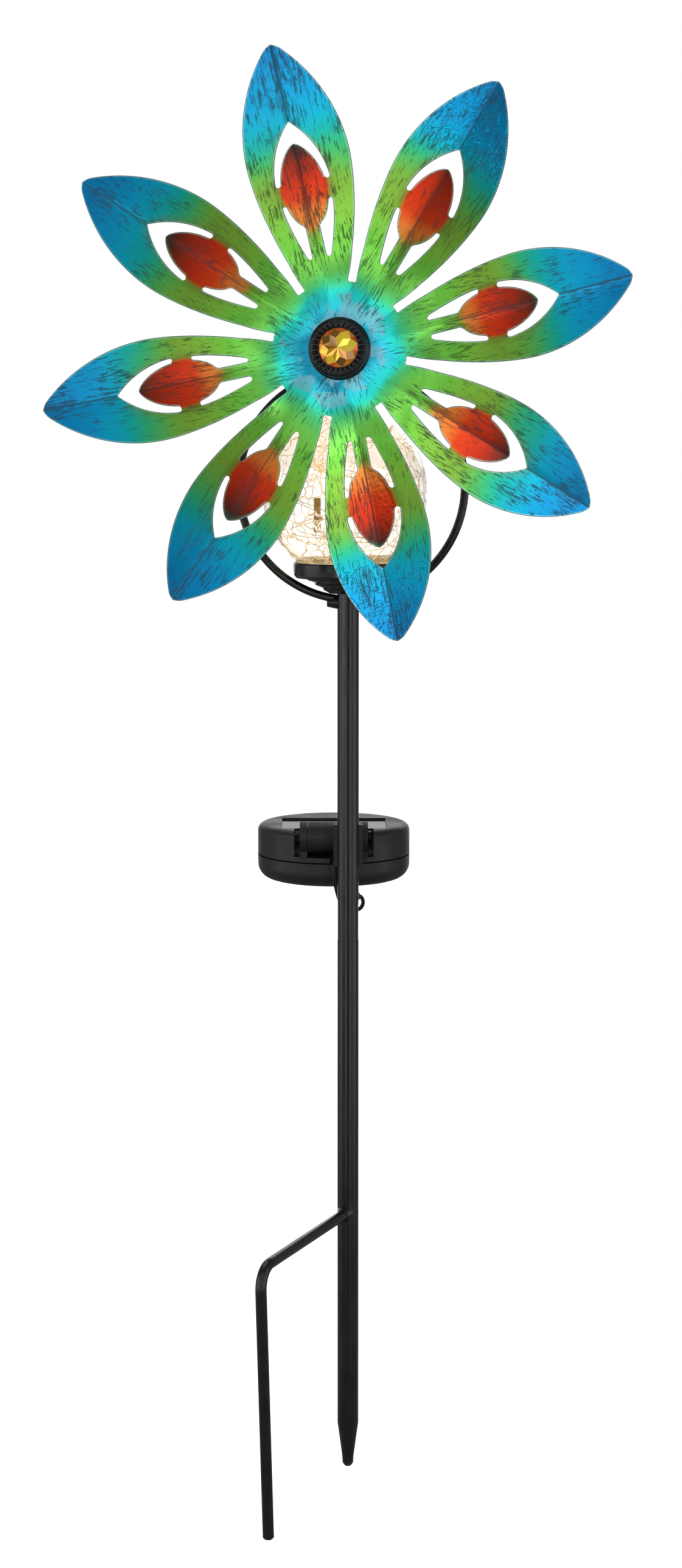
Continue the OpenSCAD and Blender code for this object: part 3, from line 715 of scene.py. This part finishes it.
def build_wheel(material):
    points, faces = petal_sheet()
    flat = np.array(points)
    wheel_points, wheel_faces = [], []
    for number in range(PETALS):
        turn = 2 * HALF_ANGLE * number
        c, s = math.cos(turn), math.sin(turn)
        x, y, z = flat.T
        turned = np.column_stack((x * c - y * s, x * s + y * c, z))
        wheel_faces += [tuple(i + len(wheel_points) for i in face) for face in faces]
        wheel_points += [tuple(p) for p in turned * MM]
    wheel = new_piece("painted_wheel", wheel_points, wheel_faces, material)
    weld = wheel.modifiers.new("weld", "WELD")
    weld.merge_threshold = WELD_REACH * MM
    thick = wheel.modifiers.new("thick", "SOLIDIFY")
    thick.thickness = SHEET * MM
    thick.offset = 0
    thick.use_even_offset = True
    rounded = wheel.modifiers.new("rounded", "BEVEL")
    rounded.width = EDGE_ROUND * MM
    rounded.segments = 2
    rounded.limit_method = "ANGLE"
    rounded.angle_limit = math.radians(55)
    finished(wheel)
    mesh = wheel.data
    places = [petal_place(p.co.x / MM, p.co.y / MM) for p in mesh.vertices]
    place = mesh.attributes.new("petal_place", "FLOAT_VECTOR", "POINT")
    place.data.foreach_set("vector", np.array([(r * MM, v * MM, n) for r, v, n in places], "f").ravel())
    rim = mesh.attributes.new("rim", "FLOAT", "POINT")
    rim.data.foreach_set("value", np.array([edge_distance(r, v) for r, v, n in places], "f"))
    mesh.transform(wheel_matrix(WHEEL_TURN))
    mesh.polygons.foreach_set("use_smooth", [True] * len(mesh.polygons))
    mesh.set_sharp_from_angle(angle=math.radians(40))
    print("wheel:", len(mesh.polygons), "faces")
    return wheel


# %% [markdown]
# ## Lacquer over bright tin
# The sheet is bright tinplate sprayed with see-through lacquers, so the colours glow like foil: metallic
# underneath, with a glossy skin. Turquoise is sprayed at the hub, green along the petal, blue at the
# point, and red on the bud, and each spray drifts into the next. A darker blue where the sheet meets the
# hub is painted shade. A nearly dry brush then drags black along each petal, catching on the grain:
# streaks under a millimetre wide and about a centimetre long, in patches. Real streaks are finer still;
# these are as coarse as they need to be to show.

# %% Mix the wheel's paint
PAINT_SPAN = 0.2
SPRAY_DRIFT = 24.0
RED_HALF_WIDTH = 15.0
RED_MIDDLE = 100.0
RED_HALF_LENGTH = 27.0
CURLED_PETAL = 1
HAMMERED_PETAL = 6


def petal_lacquer():
    material, tree, shader = surface("lacquered_tinplate", Coat_Weight=0.1, Coat_Roughness=0.12)
    place = add(tree, "Attribute", attribute_name="petal_place")
    parts = add(tree, "SeparateXYZ", {"Vector": place.outputs["Vector"]})
    along, across, number = parts.outputs
    aside = calc(tree, "ABSOLUTE", across)
    here = own_place(tree)

    # The spray's edge drifts by a few millimetres from petal to petal.
    drift = grain(tree, here, 22, detail=1)
    spray = calc(tree, "ADD", along,
                 calc(tree, "MULTIPLY", calc(tree, "SUBTRACT", drift, 0.5), SPRAY_DRIFT * MM))
    # The first, darker blue stop, where the sheet meets the hub plate, is painted shade round the hub.
    colours = blend_stops(tree, calc(tree, "DIVIDE", spray, PAINT_SPAN), (
        (0.10, "#1298ba"), (0.12, "#34d6ee"), (0.16, "#22e6d6"), (0.19, "#56e48c"), (0.23, "#7ae463"),
        (0.27, "#80dd55"), (0.33, "#76d245"), (0.40, "#84c440"), (0.49, "#7eb03a"), (0.53, "#74b643"),
        (0.57, "#56b85a"), (0.61, "#2fb87e"), (0.65, "#0fb3aa"), (0.70, "#02b0cf"), (0.77, "#00a2d8"),
        (0.88, "#008bc9")))

    # The bud's red, and the olive that its overspray leaves on the petal round it.
    bud_across = calc(tree, "DIVIDE", aside, RED_HALF_WIDTH * MM)
    bud_along = calc(tree, "DIVIDE", calc(tree, "SUBTRACT", spray, RED_MIDDLE * MM), RED_HALF_LENGTH * MM)
    bud = calc(tree, "SQRT", calc(tree, "ADD", calc(tree, "MULTIPLY", bud_across, bud_across),
                                  calc(tree, "MULTIPLY", bud_along, bud_along)))
    halo = window(tree, bud, 1.0, 1.45, 0.6, 0.0)
    red = window(tree, bud, 0.88, 1.1, 1.0, 0.0)
    reds = blend_stops(tree, calc(tree, "DIVIDE", spray, PAINT_SPAN), (
        (0.36, "#cf8a34"), (0.41, "#e27a30"), (0.45, "#dc4212"), (0.50, "#d2340c"), (0.55, "#b62c0c"),
        (0.59, "#8a280e"), (0.63, "#33201a")))
    painted = mix(tree, red, mix(tree, halo, colours, linear("#74762a")), reds)

    # Dry brush: streaks along the petal, dense in patches and along the crease.
    def streaks(width_mm, length_mm, shift):
        """Noise drawn out along the petal; shift picks another pattern."""
        stretched = add(tree, "CombineXYZ", {
            "X": calc(tree, "DIVIDE", along, length_mm * MM),
            "Y": calc(tree, "DIVIDE", across, width_mm * MM),
            "Z": calc(tree, "ADD", calc(tree, "MULTIPLY", number, 7.3), shift)})
        return add(tree, "TexNoise", {"Vector": stretched.outputs["Vector"], "Scale": 1.0, "Detail": 2.0,
                                      "Roughness": 0.55, "Distortion": 0.1}).outputs["Fac"]

    patch = window(tree, grain(tree, here, 9, detail=2), 0.42, 0.62)
    near_crease = calc(tree, "MULTIPLY", window(tree, aside, 0.5 * MM, 6 * MM, 0.06, 0.0),
                       window(tree, along, 44 * MM, 60 * MM))
    reach = calc(tree, "ADD", calc(tree, "MULTIPLY", patch, 0.1), near_crease)
    fine = window(tree, calc(tree, "ADD", streaks(1.0, 8, 0.0), reach), 0.60, 0.69)
    broad = window(tree, calc(tree, "ADD", streaks(2.0, 30, 3.1), reach), 0.66, 0.76)
    dots = calc(tree, "ADD", grain(tree, here, 0.6, detail=2), calc(tree, "MULTIPLY", reach, 0.6))
    flecks = window(tree, dots, 0.66, 0.74)
    soil = calc(tree, "MAXIMUM", calc(tree, "MULTIPLY", fine, 0.6), calc(tree, "MULTIPLY", broad, 0.38))
    soil = calc(tree, "MAXIMUM", soil, calc(tree, "MULTIPLY", flecks, 0.6))

    # The half bud that is hammered took hardly any streaks.
    beaten = calc(tree, "MULTIPLY", calc(tree, "COMPARE", number, HAMMERED_PETAL),
                  calc(tree, "MULTIPLY", window(tree, bud, 0.8, 1.0, 1.0, 0.0),
                       window(tree, across, 0.3 * MM, 1.5 * MM)))
    soil = calc(tree, "MULTIPLY", soil, calc(tree, "SUBTRACT", 1.0, calc(tree, "MULTIPLY", beaten, 0.8)))

    # A dark line follows the bend and the cut edge. Inside it a pale line is partly worn paint and partly a
    # painted highlight on the rounded edge, and pale metal shows through where the hub was rubbed.
    rim = add(tree, "Attribute", attribute_name="rim").outputs["Fac"]
    soil = calc(tree, "MAXIMUM", soil, window(tree, rim, 0.15, 0.5, 0.75, 0.0))
    bend = calc(tree, "MULTIPLY", window(tree, aside, 0.3 * MM, 0.9 * MM, 0.6, 0.0),
                window(tree, along, 62 * MM, 74 * MM))
    soil = calc(tree, "MAXIMUM", soil, bend)
    # Pale edge line: part wear, part painted highlight.
    worn_and_lit_edge = window(tree, rim, 0.5, 1.3, 0.4, 0.0)
    hub_rub = calc(tree, "MULTIPLY", window(tree, spray, 29 * MM, 33 * MM, 1.0, 0.0),
                   window(tree, grain(tree, here, 8, detail=4, warp=0.4), 0.51, 0.55))
    glowing = mix(tree, worn_and_lit_edge, painted, linear("#b9ecd9"))
    glowing = mix(tree, calc(tree, "MULTIPLY", hub_rub, 0.6), glowing, linear("#86bfcc"))
    finish = mix(tree, soil, glowing, linear("#0b1312"))
    tree.links.new(finish, shader.inputs["Base Color"])
    tree.links.new(calc(tree, "SUBTRACT", 0.86, calc(tree, "MULTIPLY", soil, 0.7)), shader.inputs["Metallic"])
    tree.links.new(window(tree, soil, 0.0, 1.0, 0.31, 0.6), shader.inputs["Roughness"])

    # Relief: the tin's rolled grain, one bud half hammered, and curled lines at two petals' points.
    rolled = calc(tree, "MULTIPLY", streaks(0.9, 12, 9.4), 0.06)
    hammered = calc(tree, "MULTIPLY", beaten, calc(tree, "MULTIPLY", grain(tree, here, 1.3, detail=1), 2.0))
    contour = calc(tree, "ABSOLUTE", calc(tree, "SUBTRACT", grain(tree, here, 3.4, detail=1, warp=1.2), 0.5))
    two_petals = calc(tree, "MAXIMUM", calc(tree, "COMPARE", number, HAMMERED_PETAL),
                      calc(tree, "COMPARE", number, CURLED_PETAL))
    curls = calc(tree, "MULTIPLY", window(tree, contour, 0.0, 0.03, 1.0, 0.0),
                 calc(tree, "MULTIPLY", window(tree, along, 124 * MM, 140 * MM), two_petals))
    height = calc(tree, "ADD", rolled, calc(tree, "ADD", hammered, calc(tree, "MULTIPLY", curls, 0.35)))
    relief(tree, shader, height, 0.5)
    return material


wheel = build_wheel(petal_lacquer())
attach(wheel, "rotor")
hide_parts("petal_wheel")

# %% [markdown]
# ## The stone
# The hub holds a 25 mm cut stone of amber acrylic with a foiled back. Its crown is a star: eight kites
# meet in the middle, eight more reach the girdle, and small triangles fill the gaps. Foil behind each
# facet throws light back one way only, so neighbouring facets look bright yellow or deep brown; that
# light and shade is painted into each facet's colour, one brightness for each facet.

# %% Cut the stone
STONE_R = 12.2
STONE_BASE = 6.25
STONE_SEED = 4
# Each facet's painted light, a painted reflection of the foil, from shaded 0 to lit 1, going round.
KITE_PAINTED_LIGHT = (0.90, 0.86, 0.12, 0.30, 0.55, 0.60, 0.36, 0.92)
STAR_PAINTED_LIGHT = (0.92, 0.88, 0.16, 0.10, 0.80, 0.86, 0.08, 0.20)


def cut_stone():
    """Points, faces and each face's kind: 0 kite at the middle, 1 star point, 2 girdle, 3 side and back."""
    def ring(radius, height, count, offset=0.0):
        return [(radius * math.cos(a), radius * math.sin(a), STONE_BASE + height)
                for a in (2 * math.pi * (i + offset) / count for i in range(count))]

    points = ring(STONE_R, 0.0, 16) + ring(STONE_R, 1.5, 16) + ring(6.0, 4.5, 8) + ring(9.2, 3.35, 8, 0.5)
    points += [(0.0, 0.0, STONE_BASE + 5.0)]
    faces, kinds = [tuple(range(15, -1, -1))], [3]
    for i in range(16):
        j = (i + 1) % 16
        faces.append((i, j, 16 + j, 16 + i))
        kinds.append(3)
    for i in range(8):
        j, tip, side = (i + 1) % 8, 16 + 2 * i, 16 + 2 * i + 1
        inner, inner_next, valley, valley_last = 32 + i, 32 + j, 40 + i, 40 + (i + 7) % 8
        faces += [(48, inner, valley, inner_next), (inner, valley_last, tip, valley), (valley, tip, side),
                  (valley, side, 16 + (2 * i + 2) % 16)]
        kinds += [0, 1, 2, 2]
    return points, faces, kinds


def amber_acrylic():
    # A faint painted glow: the stone emits its own colour, though it is no lamp.
    material, tree, shader = surface("foiled_acrylic", Roughness=0.06, IOR=1.49, Metallic=0.55,
                                     Coat_Weight=1.0, Coat_Roughness=0.02, Emission_Strength=0.12)
    # Each facet's painted light picks its colour, from dark brown to bright yellow.
    painted_brightness = add(tree, "Attribute", attribute_name="foil").outputs["Fac"]
    shade = blend_stops(tree, painted_brightness, ((0.0, "#5c4000"), (0.3, "#8f6400"), (0.55, "#d0920c"),
                                     (0.75, "#f8bb18"), (0.93, "#ffe04a"), (1.0, "#c84c04")))
    cloud = window(tree, grain(tree, own_place(tree), 1.2, detail=2), 0.3, 0.7, 0.85, 1.15)
    tinted = mix(tree, 0.25, shade, mix(tree, cloud, linear("#7a4600"), linear("#ffe9a0")), "OVERLAY")
    tree.links.new(tinted, shader.inputs["Base Color"])
    tree.links.new(tinted, shader.inputs["Emission Color"])
    return material


stone_points, stone_faces, stone_kinds = cut_stone()
stone = new_piece("cut_stone", [Vector(p) * MM for p in stone_points], stone_faces, amber_acrylic())
chance = np.random.default_rng(STONE_SEED)
kites, star_points = iter(KITE_PAINTED_LIGHT), iter(STAR_PAINTED_LIGHT)
# Painted light for each kind of facet: the listed kites and star points, bright girdle facets, shaded sides
# and back.
facet_painted_light = {0: lambda: next(kites), 1: lambda: next(star_points), 2: lambda: chance.uniform(0.98, 1.0),
         3: lambda: chance.uniform(0.2, 0.4)}
foil = stone.data.attributes.new("foil", "FLOAT", "FACE")
foil.data.foreach_set("value", [float(facet_painted_light[kind]()) for kind in stone_kinds])
stone.data.transform(wheel_matrix(WHEEL_TURN))
soft_edge = stone.modifiers.new("soft_edge", "BEVEL")
soft_edge.width = 0.12 * MM
soft_edge.segments = 1
finished(stone)
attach(stone, "rotor")
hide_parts("jewel")

# %% [markdown]
# ## The collar
# A moulded collar like a coiled rope holds the stone: 28 rounded ribs between two smooth lips. Its height
# is a small table across the ring, and the ribs are a rounded wave round it, so one grid makes it.

# %% Rib the collar
RIBS = 28
RIB_STEPS = 10
RIB_DEPTH = 1.1
COLLAR_FOOT = 6.25
# The collar's section: radius, height and share of the ribs' depth.
COLLAR_PROFILE = [(12.4, 0.0, 0), (12.45, 1.9, 0), (12.8, 2.2, 0), (13.2, 2.35, 1), (14.0, 2.6, 1),
                  (15.0, 2.6, 1), (15.9, 2.3, 1), (16.3, 1.9, 0.3), (16.7, 1.9, 0), (17.05, 1.7, 0),
                  (17.2, 1.3, 0), (17.2, 0.0, 0)]


def ribbed_collar():
    """Points and faces of the collar."""
    points, faces = [], []
    count, width = RIBS * RIB_STEPS, len(COLLAR_PROFILE)
    for i in range(count):
        angle = 2 * math.pi * i / count
        dip = RIB_DEPTH * abs(math.cos(RIBS * angle / 2)) ** 3
        for radius, height, share in COLLAR_PROFILE:
            points.append(Vector((radius * math.cos(angle), radius * math.sin(angle),
                                  COLLAR_FOOT + height - dip * share)) * MM)
        j = (i + 1) % count
        for k in range(width):
            m = (k + 1) % width
            faces.append((i * width + k, i * width + m, j * width + m, j * width + k))
    return points, faces


collar_points, collar_faces = ribbed_collar()
collar = new_piece("ribbed_collar", collar_points, collar_faces, CAP_ABS)
collar.data.polygons.foreach_set("use_smooth", [True] * len(collar.data.polygons))
collar.data.set_sharp_from_angle(angle=math.radians(50))
collar.data.transform(wheel_matrix(WHEEL_TURN))
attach(collar, "rotor")
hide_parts("bezel_ring")

# %% [markdown]
# ## The crackle globe
# The globe is blown glass, dipped hot in water so that it crazes, then reheated. The crazing is a net of
# cracks in the wall's outer skin: irregular cells about 17 mm across, with finer ones of 7 mm in places.
# Each crack catches the lamps' warm light; that light is painted in, as amber lines on faintly warm glass.

# %% Make the glass
GLOBE_R = 54.0
CRACK_CELLS = 17.0
FINE_CELLS = 7.0
SKIN_FROM = GLOBE_R - 1.5
SKIN_FULL = GLOBE_R - 0.8
globe_low, globe_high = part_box("glass_globe")
globe_centre = Vector(((globe_low.x + globe_high.x) / 2, (globe_low.y + globe_high.y) / 2,
                       globe_high.z - GLOBE_R * MM))


def crackle_glass():
    material, tree, shader = surface("crackle_glass", IOR=1.46, Transmission_Weight=1.0,
                                     Emission_Color=linear("#ffdf9e"))
    place = own_place(tree)
    bent = add(tree, "TexNoise", {"Vector": place, "Scale": 1 / (12 * MM), "Detail": 2.0})
    shaken = add(tree, "MixRGB", {"Fac": 0.012, "Color1": place, "Color2": bent.outputs["Color"]},
                 blend_type="ADD")

    def net(cell_mm, width):
        cells = add(tree, "TexVoronoi", {"Vector": shaken.outputs["Color"], "Scale": 1 / (cell_mm * MM)},
                    feature="DISTANCE_TO_EDGE")
        return window(tree, cells.outputs["Distance"], 0.0, width, 1.0, 0.0)

    # Only the outer skin is crazed; the inner one stays smooth.
    from_centre = add(tree, "VectorMath", {0: place, 1: tuple(globe_centre)}, operation="DISTANCE")
    skin = window(tree, from_centre.outputs["Value"], SKIN_FROM * MM, SKIN_FULL * MM)
    coarse, fine = net(CRACK_CELLS, 0.03), net(FINE_CELLS, 0.06)
    some = window(tree, grain(tree, place, 14, detail=2), 0.54, 0.64)
    cracks = calc(tree, "MAXIMUM", coarse, calc(tree, "MULTIPLY", fine, some))
    cracks = calc(tree, "MULTIPLY", cracks, skin)
    # The cracks' amber colour is painted lamp light.
    tree.links.new(mix(tree, cracks, linear("#e8e2da"), linear("#9a7238")), shader.inputs["Base Color"])
    tree.links.new(window(tree, cracks, 0.0, 1.0, 0.03, 0.3), shader.inputs["Roughness"])

    # Painted glow: the glass glows at its thick foot, a little at its crown, and faintly in the cracks.
    height = add(tree, "SeparateXYZ", {"Vector": place}).outputs["Z"]
    foot = window(tree, height, 0.425, 0.455, 0.1, 0.0)
    crown = window(tree, height, 0.485, 0.515, 0.0, 0.05)
    glow = calc(tree, "ADD", foot, crown)
    tree.links.new(calc(tree, "ADD", glow, calc(tree, "MULTIPLY", cracks, 0.1)),
                   shader.inputs["Emission Strength"])
    seed = calc(tree, "MULTIPLY", grain(tree, place, 9, detail=1), 0.4)
    relief(tree, shader, calc(tree, "SUBTRACT", seed, cracks), 0.25)
    return material


dress(crackle_glass(), "glass_globe")

# %% [markdown]
# ## The light string
# Ten warm lamps, each a chip in a drop of clear resin, sit on hair-thin lacquered copper wire that winds
# round inside the globe. The wire follows one formula: up the wall and back nearer the middle. A curve
# with round thickness is the natural tool for wire. A clear sleeve covers its first joint.

# %% Wind the light string
STRING_TURNS = 4
STRING_STEPS = 336
STRING_TILT = 52
WIRE_R = 0.22


def string_point(t):
    """A point of the string: t runs from 0 to 1 along it."""
    lat = math.radians(-STRING_TILT + STRING_TILT * (1 - math.cos(2 * math.pi * t)))
    lon = 2 * math.pi * STRING_TURNS * t
    reach = (0.80 - 0.16 * t + 0.05 * math.sin(math.radians(900 * t))) * GLOBE_R * MM
    flat = reach * math.cos(lat)
    return globe_centre + Vector((flat * math.cos(lon), flat * math.sin(lon), reach * math.sin(lat)))


def lacquered_copper():
    material, tree, shader = surface("lacquered_copper", Metallic=1.0, Roughness=0.28)
    shade = blend_stops(tree, grain(tree, own_place(tree), 3, detail=2), ((0.3, "#b8803a"), (0.7, "#e0b060")))
    tree.links.new(shade, shader.inputs["Base Color"])
    return material


def lamp_resin():
    material, tree, shader = surface("lit_resin", Roughness=0.15, IOR=1.5, Emission_Color=linear("#ffc978"))
    hot = grain(tree, own_place(tree), 0.6, detail=1)
    tree.links.new(window(tree, hot, 0.3, 0.7, 10.0, 16.0), shader.inputs["Emission Strength"])
    tree.links.new(blend_stops(tree, hot, ((0.3, "#ffe3ae"), (0.7, "#fff4dc"))), shader.inputs["Base Color"])
    return material


def clear_sleeve():
    material, tree, shader = surface("shrink_tube", Transmission_Weight=0.85, IOR=1.42)
    place = own_place(tree)
    tree.links.new(blend_stops(tree, grain(tree, place, 4, detail=2), ((0.3, "#b59a5c"), (0.7, "#e3cf9a"))),
                   shader.inputs["Base Color"])
    tree.links.new(window(tree, grain(tree, place, 2), 0.3, 0.7, 0.15, 0.4), shader.inputs["Roughness"])
    return material


wire_data = bpy.data.curves.new("string_wire", "CURVE")
wire_data.dimensions = "3D"
wire_data.bevel_depth = WIRE_R * MM
wire_data.bevel_resolution = 2
spline = wire_data.splines.new("POLY")
spline.points.add(STRING_STEPS)
for i, point in enumerate(spline.points):
    point.co = (*string_point(i / STRING_STEPS), 1)
wire_data.materials.append(lacquered_copper())
wire = bpy.data.objects.new("string_wire", wire_data)
scene.collection.objects.link(wire)
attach(wire, "stake")
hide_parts("led_wire")
dress(lamp_resin(), "led_beads")
dress(clear_sleeve(), "led_sleeve")

# %% [markdown]
# ## The lead
# A twin lead leaves the solar case through a notch, hangs down behind the stake in a short free loop and
# goes into the tube through a rubber grommet. It is one fixed mesh, turned with the head. Its route is
# the frame's own, smoothed by a spline through the points.

# %% Run the lead
HEAD_TURN = math.radians(6.5)
LEAD_ROUTE = [
    (-9.5, 16, 233.6), (-9.5, 13.6, 233.6), (-9.5, 11.2, 233.6), (-9.5, 8.6, 232.9), (-9.5, 6.7, 231),
    (-9.4, 6, 228.3), (-9.1, 6.2, 224.5), (-8.6, 6.9, 220.5), (-7.9, 7.8, 216.5), (-7, 8.7, 212.5),
    (-5.9, 9.5, 208.7), (-4.1, 10.1, 205.2), (-1.4, 10.5, 202.4), (1.6, 10.7, 201), (4.6, 10.8, 200.9),
    (7.2, 10.7, 201.6), (9.1, 10.4, 203.5), (9.9, 9.9, 206.1), (9.4, 9.4, 208.8), (8, 8, 210.8),
    (6.2, 6.2, 211.5), (4.5, 4.5, 211.5)]
LEAD_CORE = 0.65
LEAD_STEPS = 4


def smooth_route(points, steps):
    """A Catmull-Rom curve through the points."""
    held = [points[0], *points, points[-1]]
    made = []
    for a, b, c, d in zip(held, held[1:], held[2:], held[3:]):
        for i in range(steps):
            t = i / steps
            made.append(0.5 * (2 * b + (c - a) * t + (2 * a - 5 * b + 4 * c - d) * t * t
                               + (3 * b - a - 3 * c + d) * t ** 3))
    return [*made, points[-1]]


def swept(path, outline, first_side):
    """Points and faces of an outline swept along a path without twisting, with closed ends."""
    points, faces, side = [], [], first_side
    for i, p in enumerate(path):
        ahead = (path[min(i + 1, len(path) - 1)] - path[max(i - 1, 0)]).normalized()
        side = (side - side.dot(ahead) * ahead).normalized()
        other = ahead.cross(side)
        points += [p + side * x + other * y for x, y in outline]
    n = len(outline)
    for i in range(len(path) - 1):
        faces += [(i * n + k, i * n + (k + 1) % n, (i + 1) * n + (k + 1) % n, (i + 1) * n + k)
                  for k in range(n)]
    last = len(points) - n
    return points, [*faces, tuple(range(n - 1, -1, -1)), tuple(range(last, last + n))]


def twin_outline(core, sides=10):
    """A figure of eight: two round cores side by side, joined."""
    right = [(core + core * math.cos(a), core * math.sin(a))
             for a in np.linspace(-0.8 * math.pi, 0.8 * math.pi, sides)]
    left = [(-x, -y) for x, y in right]
    return [(float(x), float(y)) for x, y in right + left]


turned = Matrix.Rotation(HEAD_TURN, 4, "Z")
route = [turned @ (Vector(p) * MM) for p in LEAD_ROUTE]
path = smooth_route(route, LEAD_STEPS)
lead_points, lead_faces = swept(path, twin_outline(LEAD_CORE * MM), turned @ Vector((1, 0, 0)))
lead = new_piece("twin_lead", lead_points, lead_faces, PVC)
lead.data.polygons.foreach_set("use_smooth", [True] * len(lead.data.polygons))
lead_length = sum((b - a).length for a, b in zip(path, path[1:]))
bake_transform(lead)
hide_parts("solar_lead")
print("lead:", round(lead_length / MM, 1), "mm")
